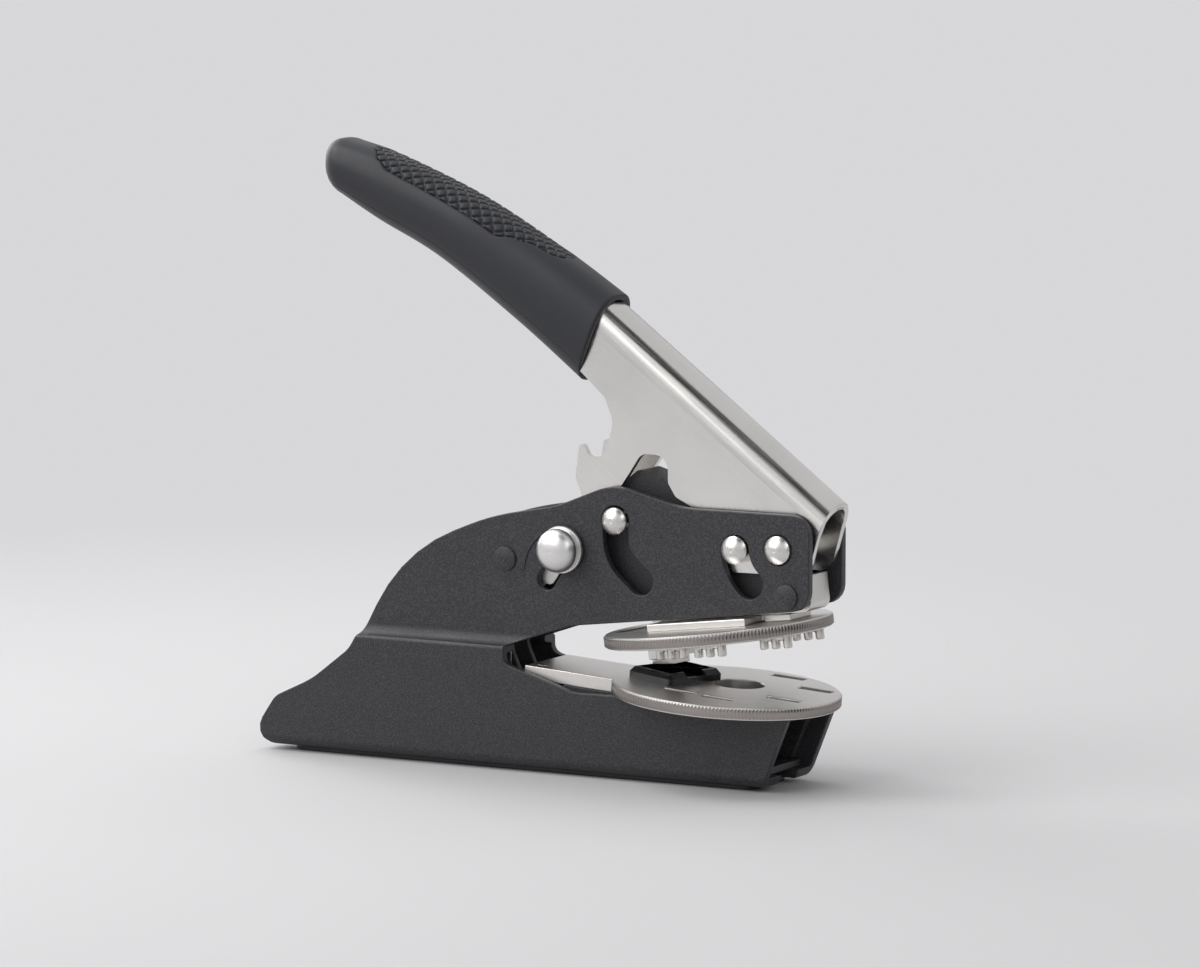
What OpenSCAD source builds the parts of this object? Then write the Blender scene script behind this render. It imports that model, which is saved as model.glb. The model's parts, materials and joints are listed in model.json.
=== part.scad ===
// Hand-held desk embosser for a 51 mm round seal.
// Two stamped steel side plates carry a lever. The lever's crank pin pulls a pressure link down, the
// link's cam edge drives a swinging press arm, and the arm carries the upper seal plate onto the
// lower one. Millimetres, +X towards the seals, +Z up, y = 0 on the middle plane. The model stands
// at rest, lever up, and the origin is on the table under the centre of the lower seal plate.

/* [Seal plates] */
// Radius of both round seal plates
seal_r = 25.5; // [24:0.25:27]
// Thickness of a seal plate
plate_t = 2.8; // [2.2:0.1:3.2]
// Height of the lower plate's top face at its centre
lower_z = 21.2; // [20.6:0.1:22]
// Forward slope of the lower plate, degrees
lower_tilt = 4; // [3:0.5:5]
// Forward rise of the upper plate at rest, degrees
upper_tilt = 7; // [6:0.5:8]
// Gap left for paper between the closed plates
paper_gap = 1.3; // [1:0.1:1.8]
// Thickness of the slide rail under the lower plate
rail_t = 3; // [2.4:0.1:3.4]
// Rear end of the slide rail
rail_rear = 46.6; // [44:0.2:48]
// Radius of the round hole in the lower plate
centre_hole_r = 5.75; // [4.5:0.25:6.5]
// Length of a key window in the lower plate
key_l = 8.4; // [7:0.2:9]
// Width of a key window
key_w = 2.6; // [2.2:0.1:3.2]
// How far the key teeth hang below the upper plate
key_drop = 3.2; // [2.4:0.1:3.6]
// Length of the black register frame
clip_l = 17; // [15:0.5:18]
// Width of the register frame
clip_w = 13; // [12:0.5:14]
// Height of the register frame above the lower plate
clip_h = 2.6; // [2:0.1:3]
// Width of the register block under the upper plate
block_w = 6.5; // [5.5:0.25:7]
// Length of the register block
block_l = 8; // [6:0.5:9]
// How far the register block hangs below the upper plate
block_drop = 5.2; // [4.4:0.1:5.6]

/* [Frame] */
// Thickness of the side plate steel
frame_sheet = 2; // [1.6:0.1:2.4]
// How far the base steps out from the upper part on each side
step_out = 3; // [2.4:0.2:4]
// Height of the step above the table
step_z = 28.2; // [27.4:0.2:29]
// Top edge of the plates over the linkage
frame_top = 61.35; // [61:0.25:63]
// Front edge of the plates
frame_front = 24.75; // [24.25:0.25:26]
// Rear tip of the base, measured back from the seal centre
tail_x = 118; // [112:1:122]
// Thickness of the rubber base pad
pad_t = 1.2; // [0.8:0.1:2]
// Thickness of the floor sheet
floor_t = 1.6; // [1.2:0.1:2]
// Radius of the black spacer rivets between the plates
spacer_r = 1.9; // [1.6:0.1:2.1]
// Radius of the black rivet heads
rivet_head_r = 2.75; // [2.5:0.25:3.25]

/* [Linkage] */
// Fulcrum of the lever, forward of the seal centre
fulcrum_x = 17.1; // [16.6:0.1:17.6]
// Height of the fulcrum
fulcrum_z = 53.5; // [53:0.1:54]
// Distance from the fulcrum to the crank pin
crank_r = 10.6; // [10.2:0.1:11]
// Radius of the fulcrum pin and the crank pin
pin_r = 3.1; // [2.8:0.1:3.3]
// Distance from the crank pin to the guide pin
link_len = 30.2; // [29.6:0.1:30.6]
// Thickness of the pressure link
link_w = 4.8; // [4:0.2:5.6]
// Radius of the guide pin's shank
guide_r = 1.25; // [1:0.05:1.4]
// Stroke of the lever, degrees
lever_stroke = 28; // [24:1:29]

/* [Lever] */
// Thickness of the lever's steel
lever_sheet = 1.5; // [1.2:0.1:1.8]
// Rounding of the lever's back
lever_round = 4.3; // [3.5:0.1:5]
// Half width of the rubber grip
grip_half = 8.3; // [7.8:0.1:9.5]

/* [Press arm] */
// Thickness of the arm's steel
arm_sheet = 1.5; // [1.2:0.1:1.7]
// Radius of the hinge pin at the arm's foot
hinge_r = 2; // [1.6:0.1:2.4]
// Radius of the cross pin that the link presses on
press_pin_r = 2; // [1.6:0.1:2.2]
// Thickness of the press foot
foot_t = 1.8; // [1.4:0.1:2]
// Thickness of the holder plate between foot and seal plate
holder_t = 1.6; // [1.2:0.1:1.8]
// Half width of the holder plate
holder_half = 11; // [10:0.5:12]
// Wire diameter of the return spring
wire_d = 1; // [0.8:0.1:1.1]

/* [Die lock] */
// Thickness of the lock slide
slide_t = 0.4; // [0.3:0.05:0.6]
// Width of the lock slide
slide_w = 3.2; // [2.6:0.2:3.8]
// Travel of the lock knob
lock_travel = 7.5; // [6.5:0.1:8]
// Radius of the knob's flange
knob_r = 5.35; // [4.8:0.1:5.8]
// How far the knob stands out of the plate
knob_h = 6.2; // [5.4:0.2:8]

/* [Fits] */
// Gap between sheets that move past each other
layer_gap = 0.4; // [0.3:0.05:0.6]
// Radial play of a turning pin in its hole
pin_play = 0.05; // [0.03:0.01:0.09]
// Play round guided pins and keys
guide_play = 0.3; // [0.25:0.05:0.4]

/* [Hidden] */

round_fn = 48;
corner_steps = 5;
arc_step = 7.5;
tiny = 0.01;

// Layers from the middle plane outwards
link_half = link_w / 2;
arm_in = link_half + layer_gap + 0.1;
arm_out = arm_in + arm_sheet;
lever_in = arm_out + layer_gap;
lever_out = lever_in + lever_sheet;
slide_in = lever_out + layer_gap - 0.15;
slide_out = slide_in + slide_t;
frame_in = slide_out + 0.05;
frame_out = frame_in + frame_sheet;
base_out = frame_out + step_out;
base_in = base_out - frame_sheet;
rail_half = base_in - 0.2;

// Heights of the base
flange_z = pad_t;
floor_z = flange_z + frame_sheet;
floor_top = floor_z + floor_t;
floor_half = base_in - 0.5;

// Pivots in the side view, [x, z]
fulcrum = [fulcrum_x, fulcrum_z];
crank_angle = 183.2;
link_angle = 171.2;
crank = fulcrum + crank_r * [cos(crank_angle), sin(crank_angle)];
guide = crank + link_len * [cos(link_angle), sin(link_angle)];
arm_hinge = [-52, 17];
rear_spacer = [-51.3, 47.5];
front_spacer = [19.2, 43.35];
press_at = [-15, 49.3];
knob_at = [-36.3, 50.5];
knob_dir = [-0.523, -0.852];
knob_open = knob_at + lock_travel * knob_dir;

arm_stroke = lower_tilt + upper_tilt;
arm_ratio = arm_stroke / lever_stroke;
link_turn = 0.175;
lug_r = 4.7;
lug_in = 0.98 * lug_r;

// Heights above the upper plate's lower face, square to the plate
holder_from = plate_t;
foot_from = holder_from + holder_t;
foot_top = foot_from + foot_t;

// ---------------------------------------------------------------- functions

function turn(p, c, a) = c + [
    cos(a) * (p.x - c.x) - sin(a) * (p.y - c.y),
    sin(a) * (p.x - c.x) + cos(a) * (p.y - c.y)];
function unit(v) = v / norm(v);
function left_of(v) = [-v.y, v.x];
function xy(p) = [p.x, p.y];

// Points of a corner b between a and c, rounded with radius r
function corner(a, b, c, r) =
    let (u = unit(a - b), v = unit(c - b), half = acos(u * v) / 2, t = r / tan(half),
         centre = b + unit(u + v) * r / sin(half),
         sweep = (180 - 2 * half) * sign(u.x * v.y - u.y * v.x))
    r == 0 ? [b] : [for (i = [0:corner_steps]) turn(b + t * u, centre, -sweep * i / corner_steps)];

// Closed outline whose points are [x, z, corner radius]
function rounded(pts) = let (n = len(pts))
    [for (i = [0:n - 1])
        each corner(xy(pts[(i + n - 1) % n]), xy(pts[i]), xy(pts[(i + 1) % n]), pts[i][2])];

// Open path with rounded corners
function bent(pts) = let (n = len(pts)) [
    xy(pts[0]),
    for (i = [1:n - 2]) each corner(xy(pts[i - 1]), xy(pts[i]), xy(pts[i + 1]), pts[i][2]),
    xy(pts[n - 1])];

// Path moved to its left by t
function beside(path, t) = let (n = len(path)) [for (i = [0:n - 1])
    path[i] + t * left_of(unit(path[min(i + 1, n - 1)] - path[max(i - 1, 0)]))];
function reversed(path) = [for (i = [len(path) - 1:-1:0]) path[i]];

// Outline of a bent sheet of thickness t whose one face follows the path, the other on its left
function sheet(path, t) = concat(path, reversed(beside(path, t)));

// Height of the faces of the seal plates in world axes, h square to the plate
function lower_face(x, h) = lower_z - x * tan(lower_tilt) + h / cos(lower_tilt);
upper_at = turn([paper_gap * sin(lower_tilt), lower_z + paper_gap * cos(lower_tilt)],
                arm_hinge, arm_stroke);
function upper_face(x, h) = upper_at.y + (x - upper_at.x) * tan(upper_tilt) + h / cos(upper_tilt);

// Centre of the press pin as the link sees it when the lever has turned by a
function press_seen(a) = turn(
    turn(press_at, arm_hinge, -arm_ratio * a) - turn(crank, fulcrum, a) + crank, crank, -link_turn * a);

// ---------------------------------------------------------------- shared shapes

// Extrudes a side view between y0 and y1
module across(y0, y1) {
    translate([0, y1, 0]) rotate([90, 0, 0]) linear_extrude(height = y1 - y0) children();
}

module rod(p, r, y0, y1) {
    translate([p.x, y1, p.y]) rotate([90, 0, 0]) cylinder(r = r, h = y1 - y0, $fn = round_fn);
}

// Low dome on the outside of a pin, standing out from y towards side s
module dome(p, r, y, s, h) {
    ball = (r * r + h * h) / (2 * h);
    translate([p.x, y, p.y]) rotate([-s * 90, 0, 0]) intersection() {
        translate([0, 0, h - ball]) sphere(r = ball, $fn = round_fn);
        cylinder(r = r, h = h + 1, $fn = round_fn);
    }
}

// Slot of half width r with round ends along a path
module slot(path, r) {
    n = len(path);
    first = path[1] - path[0];
    last = path[n - 1] - path[n - 2];
    start = atan2(first.y, first.x);
    end = atan2(last.y, last.x);
    polygon(concat(beside(path, r), arc(path[n - 1], r, end + 90 - arc_step, end - 90 + arc_step),
        reversed(beside(path, -r)), arc(path[0], r, start - 90 - arc_step, start - 270 + arc_step)));
}

// Points on a circle about c from p through the angle a
function swept(c, p, a) = [for (i = [0:8]) turn(p, c, a * i / 8)];

// Points of an arc of radius r about c
function arc(c, r, a0, a1) = let (n = ceil(abs(a1 - a0) / arc_step))
    [for (i = [0:n]) let (a = a0 + (a1 - a0) * i / n) c + r * [cos(a), sin(a)]];

module both_sides() {
    children();
    mirror([0, 1, 0]) children();
}

// The lower plate's own axes: origin on its top face, +X down its slope
module on_lower() {
    translate([0, 0, lower_z]) rotate([0, lower_tilt, 0]) children();
}

// The upper plate's own axes at rest: origin on its lower face, the closed place swung up
module on_upper() {
    translate([arm_hinge.x, 0, arm_hinge.y]) rotate([0, -arm_stroke, 0])
        translate([-arm_hinge.x, 0, -arm_hinge.y]) on_lower() translate([0, 0, paper_gap]) children();
}

// ---------------------------------------------------------------- side plates

guide_slot = bent([[guide.x, guide.y, 0], [-23, 49.6, 8], [-17, 44.5, 0]]);
guide_slot_r = pin_r + 0.05;
lock_slot_r = 2.3;

module upper_outline() {
    jaw = 37.4;
    polygon(rounded([
        [-96, 20, 0], [-93, step_z - 8, 0], [-88.6, step_z, 0], [-78, 47.7, 40], [-54.9, 56.9, 60],
        [-38.3, 60, 25], [-25.7, frame_top + 3.7, 14], [-21.1, frame_top + 3.7, 12],
        [-6.3, frame_top, 25], [frame_front, frame_top, 4.6], [frame_front, jaw + 3.25, 4.5],
        [-34.6, jaw - 4, 20], [-50.2, step_z, 0], [-50.2, 20, 0]]));
}

module base_outline() {
    throat = -50.2;
    polygon(rounded([
        [throat, step_z + 2, 0], [throat, 24.3, 2.2], [-32.4, lower_face(-32.4, -plate_t) - 1.73, 8],
        [-22.4, lower_face(-22.4, -plate_t) - 0.95, 3],
        [21.2, lower_face(21.2, -plate_t) - 0.05, 0.8], [14.9, flange_z, 0],
        [-tail_x, flange_z, 4], [7.7 - tail_x, 12.6, 5], [-100.5, 17.2, 25], [-90.6, 24.8, 8],
        [-88.6, step_z, 0], [-86, step_z + 2, 0]]));
}

// Section of one stamped side, [y, z]: flange, base wall, step and upper part
module side_section() {
    bend = 2.4;
    polygon(rounded([
        [frame_out, frame_top + 8, 0], [frame_out, step_z + 0.3, 2.6], [base_out, step_z - 0.1, 0.9],
        [base_out, flange_z, bend], [base_out - 8, flange_z, 0], [base_out - 8, floor_z, 0],
        [base_in, floor_z, bend - frame_sheet], [base_in, step_z - frame_sheet, 0.4],
        [frame_in, step_z - frame_sheet + 0.4, 0.8], [frame_in, frame_top + 8, 0]]));
}

// Side plate on the +Y side, with every opening that both plates share
module side_plate() {
    difference() {
        intersection() {
            across(1, base_out + 2) {
                upper_outline();
                base_outline();
            }
            translate([-tail_x - 4, 0, 0]) rotate([90, 0, 90])
                linear_extrude(height = tail_x + 40) side_section();
        }
        across(0, base_out) slot(guide_slot, guide_slot_r);
        rod(guide, pin_r + guide_play, 0, base_out);
        across(0, base_out) slot(swept(fulcrum, crank, 45), pin_r + guide_play - 0.05);
        rod(fulcrum, pin_r + pin_play, 0, base_out);
        rod(fulcrum, pin_r + guide_play, frame_out - 0.5, base_out);
        rod(rear_spacer, spacer_r, 0, base_out);
        rod(front_spacer, spacer_r, 0, base_out);
        for (x = rivet_xs) translate([x, rivet_y, 0]) cylinder(r = rivet_r, h = floor_top, $fn = round_fn);
    }
}

module right_side_plate() {
    color("#26262a") difference() {
        mirror([0, 1, 0]) side_plate();
        across(-base_out, 0) slot([knob_at, knob_open + 0.9 * knob_dir], lock_slot_r);
    }
}

module left_side_plate() {
    color("#26262a") side_plate();
}

// ---------------------------------------------------------------- base

rivet_r = 1.5;
rivet_y = base_in - 3;
rivet_xs = [-98, -72, -30, 4];
bracket_rivet_xs = [-55.6, -48];
bracket_t = 1.5;
bracket_in = arm_out + layer_gap - 0.1;
bracket_out = bracket_in + bracket_t;
bracket_rear = -61;
bracket_front = -45;
eye_r = 4.4;

module base_floor() {
    color("#1d1d20") difference() {
        across(-floor_half, floor_half) polygon(sheet(bent([
            [13.5, floor_z, 0], [9 - tail_x, floor_z, 3], [6 - tail_x, floor_z + 4, 0]]),
            -floor_t));
        for (x = rivet_xs, y = [-rivet_y, rivet_y])
            translate([x, y, 0]) cylinder(r = rivet_r, h = 20, $fn = round_fn);
        for (x = bracket_rivet_xs) translate([x, 0, 0]) cylinder(r = rivet_r, h = 20, $fn = round_fn);
    }
}

module base_pad() {
    color("#151516") linear_extrude(height = pad_t)
        polygon(rounded([[11, -base_in + 1, 3], [11, base_in - 1, 3],
            [9 - tail_x, base_in - 1, 6], [9 - tail_x, 1 - base_in, 6]]));
}

module rivet(x, y, z0, z1) {
    translate([x, y, z0]) cylinder(r = rivet_r, h = z1 - z0, $fn = round_fn);
    translate([x, y, z1]) cylinder(r = 1.8 * rivet_r, h = 0.8, $fn = round_fn);
}

module floor_rivets() {
    color("#1d1d20") for (x = rivet_xs, y = [-rivet_y, rivet_y]) rivet(x, y, flange_z, floor_top);
}

module hinge_bracket() {
    color("silver") difference() {
        union() {
            translate([bracket_rear, -bracket_out, floor_top])
                cube([bracket_front - bracket_rear, 2 * bracket_out, bracket_t]);
            translate([bracket_rear, -bracket_out, floor_top])
                cube([bracket_t, 2 * bracket_out, 17]);
            both_sides() across(bracket_in, bracket_out) {
                translate(arm_hinge) circle(r = eye_r, $fn = round_fn);
                polygon([[bracket_rear, floor_top], [bracket_rear, arm_hinge.y - 2],
                    arm_hinge + 0.96 * eye_r * [cos(130), sin(130)],
                    arm_hinge + 0.96 * eye_r * [cos(20), sin(20)],
                    [bracket_front, floor_top + 3], [bracket_front, floor_top]]);
            }
        }
        rod(arm_hinge, hinge_r, -bracket_out - 1, bracket_out + 1);
        for (x = bracket_rivet_xs) translate([x, 0, 0])
            cylinder(r = rivet_r, h = floor_top + bracket_t + 1, $fn = round_fn);
    }
}

module bracket_rivets() {
    color("silver") for (x = bracket_rivet_xs) rivet(x, 0, floor_z, floor_top + bracket_t);
}

module arm_hinge_pin() {
    color("gainsboro") rod(arm_hinge, hinge_r, -bracket_out - 0.15, bracket_out + 0.15);
}

// Black rivet whose body is the spacer between the side plates
module spacer_rivet(p) {
    rod(p, spacer_r, -frame_out, frame_out);
    for (s = [-1, 1]) dome(p, rivet_head_r, s * frame_out, s, 0.9);
}

module rear_spacer_rivet() {
    color("#222226") spacer_rivet(rear_spacer);
}

module front_spacer_rivet() {
    color("#222226") spacer_rivet(front_spacer);
}

module fulcrum_pin() {
    color("silver") {
        rod(fulcrum, pin_r, -frame_out - 0.1, frame_out + 0.1);
        for (s = [-1, 1]) dome(fulcrum, pin_r, s * (frame_out + 0.1), s, 1.7);
    }
}

// ---------------------------------------------------------------- lower seal

key_spots = [[4.5, 20.8], [16, 11.5], [16, -4], [4.8, -13.7], [-5.2, -13]];
centre_hole = [0.5, 4.8];
clip_at = [-12.8, -0.5];
clip_turn = -15;
block_at = [-12, -1];
clip_wall = 1.5;
block_play = 1.1;
rail_drop = 0.5;
rail_bottom = -rail_drop - rail_t;
bed_t = 2;

// Footprint of the register block, grown by g
module block_area(g) {
    translate(block_at) rotate(clip_turn) square([block_w + 2 * g, block_l + 2 * g], center = true);
}

// Channel that stands on the floor and carries the lower plate's slide rail
module die_bed() {
    leg = 2;
    rear = -36;
    front = 17;
    color("#1d1d20") difference() {
        across(-rail_half, rail_half) polygon([
            [rear, floor_top], [rear, lower_face(rear, rail_bottom)],
            [front, lower_face(front, rail_bottom)], [front - 5, floor_top]]);
        across(leg - rail_half, rail_half - leg) polygon([
            [rear - 1, floor_top - 1], [rear - 1, lower_face(rear - 1, rail_bottom - bed_t)],
            [front + 1, lower_face(front + 1, rail_bottom - bed_t)], [front + 1, floor_top - 1]]);
        on_lower() translate([0, 0, rail_bottom - bed_t - 2])
            linear_extrude(height = bed_t + 3) block_area(block_play);
        for (x = rivet_xs, y = [-rivet_y, rivet_y])
            translate([x, y, floor_top - tiny]) cylinder(r = 1.8 * rivet_r + 0.2, h = 1.1, $fn = round_fn);
    }
}

module lower_seal_plate() {
    front = 17;
    notch = [-45.4, -42.4];
    color("silver") on_lower() difference() {
        union() {
            translate([0, 0, -plate_t]) cylinder(r = seal_r, h = plate_t, $fn = 96);
            difference() {
                translate([-rail_rear, -rail_half, rail_bottom])
                    cube([rail_rear + front, 2 * rail_half, rail_t]);
                translate([notch[0], -slide_out - 0.5, rail_bottom - 1])
                    cube([notch[1] - notch[0], slide_t + 1, rail_t + 2]);
            }
        }
        translate([centre_hole.x, centre_hole.y, rail_bottom - 1])
            cylinder(r = centre_hole_r, h = rail_t + 3, $fn = round_fn);
        for (p = key_spots) translate([p.x, p.y, -plate_t]) linear_extrude(height = plate_t + 1)
            square([key_l, key_w], center = true);
        translate([0, 0, rail_bottom - 1]) linear_extrude(height = rail_t + 3) block_area(block_play);
    }
}

// Black frame on the lower plate that the register block drops into
module register_frame() {
    color("#141416") on_lower() difference() {
        translate([clip_at.x, clip_at.y, 0]) rotate(clip_turn) difference() {
            linear_extrude(height = clip_h) polygon(rounded([
                [-clip_w / 2, -clip_l / 2, 1], [clip_w / 2, -clip_l / 2, 1],
                [clip_w / 2, clip_l / 2, 1], [-clip_w / 2, clip_l / 2, 1]]));
            translate([0, 0, 0.8]) linear_extrude(height = clip_h) polygon(rounded([
                [clip_wall - clip_w / 2, clip_wall - clip_l / 2, 0.4],
                [clip_w / 2 - clip_wall, clip_wall - clip_l / 2, 0.4],
                [clip_w / 2 - clip_wall, clip_l / 2 - clip_wall, 0.4],
                [clip_wall - clip_w / 2, clip_l / 2 - clip_wall, 0.4]]));
            translate([clip_w / 2 - clip_wall - 1, -3, 1.4]) cube([4, 6, 3]);
        }
        translate([0, 0, -1]) linear_extrude(height = 3) block_area(block_play);
    }
}

// ---------------------------------------------------------------- upper seal, moves with the arm

module clip_clearance(h) {
    translate([clip_at.x, clip_at.y, -1]) rotate(clip_turn)
        translate([-clip_w / 2 - 0.5, -clip_l / 2 - 0.5, 0]) cube([clip_w + 1, clip_l + 1, h + 1]);
}

screw_xs = [4, 11];
screw_r = 1.5;
holder_rear = -12;
holder_front = 12.6;
tab_at = [14.2, 20.8];

module upper_seal_plate() {
    color("silver") on_upper() difference() {
        cylinder(r = seal_r, h = plate_t, $fn = 96);
        clip_clearance(plate_t + 1);
        for (x = screw_xs) translate([x, 0, -1]) cylinder(r = screw_r, h = plate_t + 2, $fn = round_fn);
        for (x = screw_xs) translate([x, 0, 0]) cylinder(r1 = 2 * screw_r, r2 = screw_r, h = screw_r,
                                                         $fn = round_fn);
    }
}

module upper_holder() {
    color("silver") on_upper() difference() {
        union() {
            translate([holder_rear, -holder_half, holder_from])
                cube([holder_front - holder_rear, 2 * holder_half, holder_t]);
            translate([holder_front - tiny, -3, holder_from])
                cube([tab_at[0] - holder_front + 2 * tiny, 6, holder_t]);
            translate([tab_at[0], -5, holder_from]) cube([tab_at[1] - tab_at[0], 10, holder_t]);
        }
        for (x = screw_xs) translate([x, 0, 0]) cylinder(r = screw_r, h = foot_top, $fn = round_fn);
    }
}

// Countersunk screws that clamp seal plate and holder to the press foot
module upper_screws() {
    color("gray") on_upper() for (x = screw_xs) translate([x, 0, 0]) {
        cylinder(r = screw_r, h = foot_top, $fn = round_fn);
        cylinder(r1 = 2 * screw_r, r2 = screw_r, h = screw_r, $fn = round_fn);
    }
}

module register_block() {
    color("silver") on_upper() difference() {
        translate([0, 0, -block_drop]) linear_extrude(height = block_drop + plate_t) block_area(0);
        translate([block_at.x, block_at.y, -block_drop - 1]) rotate(clip_turn) {
            translate([-block_w, block_l / 2 - 1.6, 0]) cube([2 * block_w, 2, 2.6]);
            translate([-block_w, -block_l / 2 - 0.4, 0]) cube([2 * block_w, 1.4, 2.2]);
        }
    }
}

// Groups of round teeth on a bar, one group over each key window
module key_teeth() {
    tooth_r = key_w / 2 - guide_play;
    pitch = (key_l - 2 * guide_play - 2 * tooth_r) / 2;
    color("silver") on_upper() for (p = key_spots) translate([p.x, p.y, -key_drop]) {
        for (i = [-1:1]) translate([i * pitch, 0, 0]) cylinder(r = tooth_r, h = key_drop, $fn = round_fn);
        translate([-pitch, 0.3 - tooth_r, key_drop - 1.4]) cube([2 * pitch, 2 * tooth_r - 0.6, 1.4]);
    }
}

// Strip under the arm with its front edge turned up
module press_foot() {
    half = arm_out + 0.2;
    rear = -14;
    front = 26;
    lip = 6.2;
    color("silver") difference() {
        on_upper() difference() {
            translate([0, half, 0]) rotate([90, 0, 0]) linear_extrude(height = 2 * half)
                polygon(sheet(bent([[rear, foot_from, 0], [front, foot_from, foot_t + 0.4],
                    [front, foot_from + foot_t + lip, 0]]), foot_t));
            for (x = screw_xs) translate([x, 0, 0])
                cylinder(r = screw_r, h = foot_top + 1, $fn = round_fn);
        }
    }
}

// ---------------------------------------------------------------- press arm

hump_round = arm_sheet + 0.4;
arm_top = [[-62.5, 45, 0], [-62.5, 53.4, 4], [-50, 56.2, 12], [-38, 58.6, 12], [-27, 63.2, 8],
           [-19.8, 68.9, hump_round], [-11.6, 66.4, hump_round], [-7.6, 64.2, 0]];

// Side view of the arm, from the foot's eye up the back, over the hump and down to the press foot
module arm_outline() {
    polygon(rounded(concat(
        [for (p = arc(arm_hinge, eye_r, 60, -182)) [p.x, p.y, 0]],
        [[-58.4, 24, 6], [-62.5, 40, 6]],
        [for (i = [1:len(arm_top) - 1]) arm_top[i]],
        [[-4.2, 62.3, 1], [-3.4, 60, 2], [-3.4, 49.2, 3], [13.4, 48.4, 2],
         [16.2, upper_face(16.2, foot_top), 0], [-15.6, upper_face(-15.6, foot_top), 2],
         [-47, 34.6, 8], [-53.6, 29, 5]])));
}

// Everything under the arm's web, open at the bottom, at both ends and at the foot
module arm_hollow() {
    polygon(concat(beside(bent(arm_top), -arm_sheet),
        [[0, 68], [30, 68], [30, 5], [-80, 5], [-80, arm_top[0].y]]));
}

module press_arm() {
    guide_path = [guide, turn(turn(crank, fulcrum, lever_stroke)
        + turn(guide - crank, [0, 0], link_turn * lever_stroke), arm_hinge, arm_stroke)];
    color("#1b1b1e") difference() {
        across(-arm_out, arm_out) arm_outline();
        across(-arm_in, arm_in) arm_hollow();
        rod(arm_hinge, hinge_r + pin_play, -arm_out - 1, arm_out + 1);
        rod(press_at, press_pin_r / 2, -arm_out - 1, arm_out + 1);
        across(-arm_out - 1, arm_out + 1)
            slot(swept(arm_hinge, rear_spacer, arm_stroke), spacer_r + guide_play);
        across(-arm_out - 1, arm_out + 1) slot(guide_path, guide_r + 2 * guide_play);
    }
}

// Shouldered cross pin that takes the link's pressure
module press_pin() {
    color("gainsboro") {
        rod(press_at, press_pin_r, -arm_in, arm_in);
        rod(press_at, press_pin_r / 2, -arm_out, arm_out);
    }
}

// ---------------------------------------------------------------- linkage

module pressure_link() {
    cam_gap = 0.15;
    stations = [for (a = [-6:2:lever_stroke + 6]) press_seen(a)];
    last = len(stations) - 1;
    cam = [for (i = [1:last - 1]) stations[i]
        + (press_pin_r + cam_gap) * left_of(unit(stations[i + 1] - stations[i - 1]))];
    color("silver") difference() {
        across(-link_half, link_half) {
            translate(guide) circle(r = lug_r, $fn = round_fn);
            translate(crank) circle(r = lug_r, $fn = round_fn);
            polygon(concat([guide + lug_in * [cos(262), sin(262)]], cam,
                [crank + lug_in * [cos(262), sin(262)], crank + lug_in * [cos(82), sin(82)]],
                [[-8, 58.6], guide + lug_in * [cos(80), sin(80)]]));
        }
        rod(crank, pin_r + pin_play, -link_w, link_w);
        rod(guide, guide_r, -link_w, link_w);
    }
}

module guide_pin() {
    color("silver") {
        rod(guide, guide_r, -frame_out - 0.15, frame_out + 0.15);
        for (s = [-1, 1]) dome(guide, pin_r, s * (frame_out + 0.1), s, 1.9);
    }
}

module crank_pin() {
    color("silver") {
        rod(crank, pin_r, -frame_out - 0.1, frame_out + 0.1);
        for (s = [-1, 1]) dome(crank, pin_r, s * (frame_out + 0.1), s, 1.7);
    }
}

// Torsion spring on the rear spacer: one leg on the bracket's back, one under the arm's web
spring_sides = 8;
spring_steps = 18;

module return_spring() {
    coil_r = spacer_r + 0.3 + wire_d / 2;
    turns = 3;
    pitch = wire_d + 0.42;
    a0 = 169;
    a1 = 111 - 360 * turns;
    count = turns * spring_steps + 3;
    half = pitch * (a0 - a1) / 360 / 2;
    coil = [for (i = [0:count]) let (a = a0 + (a1 - a0) * i / count)
        [rear_spacer.x + coil_r * cos(a), -half + 2 * half * i / count,
         rear_spacer.y + coil_r * sin(a)]];
    rear_leg = [-59.5 + wire_d / 2 + 0.2, -half, 20.5];
    front_leg = [-35, half, 58.2 - wire_d / 2];
    path = concat([rear_leg, rear_leg + (coil[0] - rear_leg) * 0.5], coil,
                  [coil[count] + (front_leg - coil[count]) * 0.5, front_leg]);
    n = len(path);
    function ring(i) = let (d = path[min(i + 1, n - 1)] - path[max(i - 1, 0)],
        u = unit([d.z, 0, -d.x]), v = unit(cross(d, u)))
        [for (k = [0:spring_sides - 1]) path[i]
            + wire_d / 2 * (u * cos(360 * k / spring_sides) + v * sin(360 * k / spring_sides))];
    points = [for (i = [0:n - 1]) each ring(i)];
    s = spring_sides;
    faces = concat([[for (k = [0:s - 1]) k]], [[for (k = [s - 1:-1:0]) (n - 1) * s + k]],
        [for (i = [0:n - 2], k = [0:s - 1]) let (a = i * s + k, b = i * s + (k + 1) % s)
            each [[a, a + s, b + s], [a, b + s, b]]]);
    echo(spring_gap = pitch - wire_d);
    color("gainsboro") polyhedron(points = points, faces = faces);
}

// ---------------------------------------------------------------- lever

lever_slope = 36.6;
lever_top = [28.4, 63.6];
tang_slope = 25.9;
tang_top = [-36, 110.2];

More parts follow.
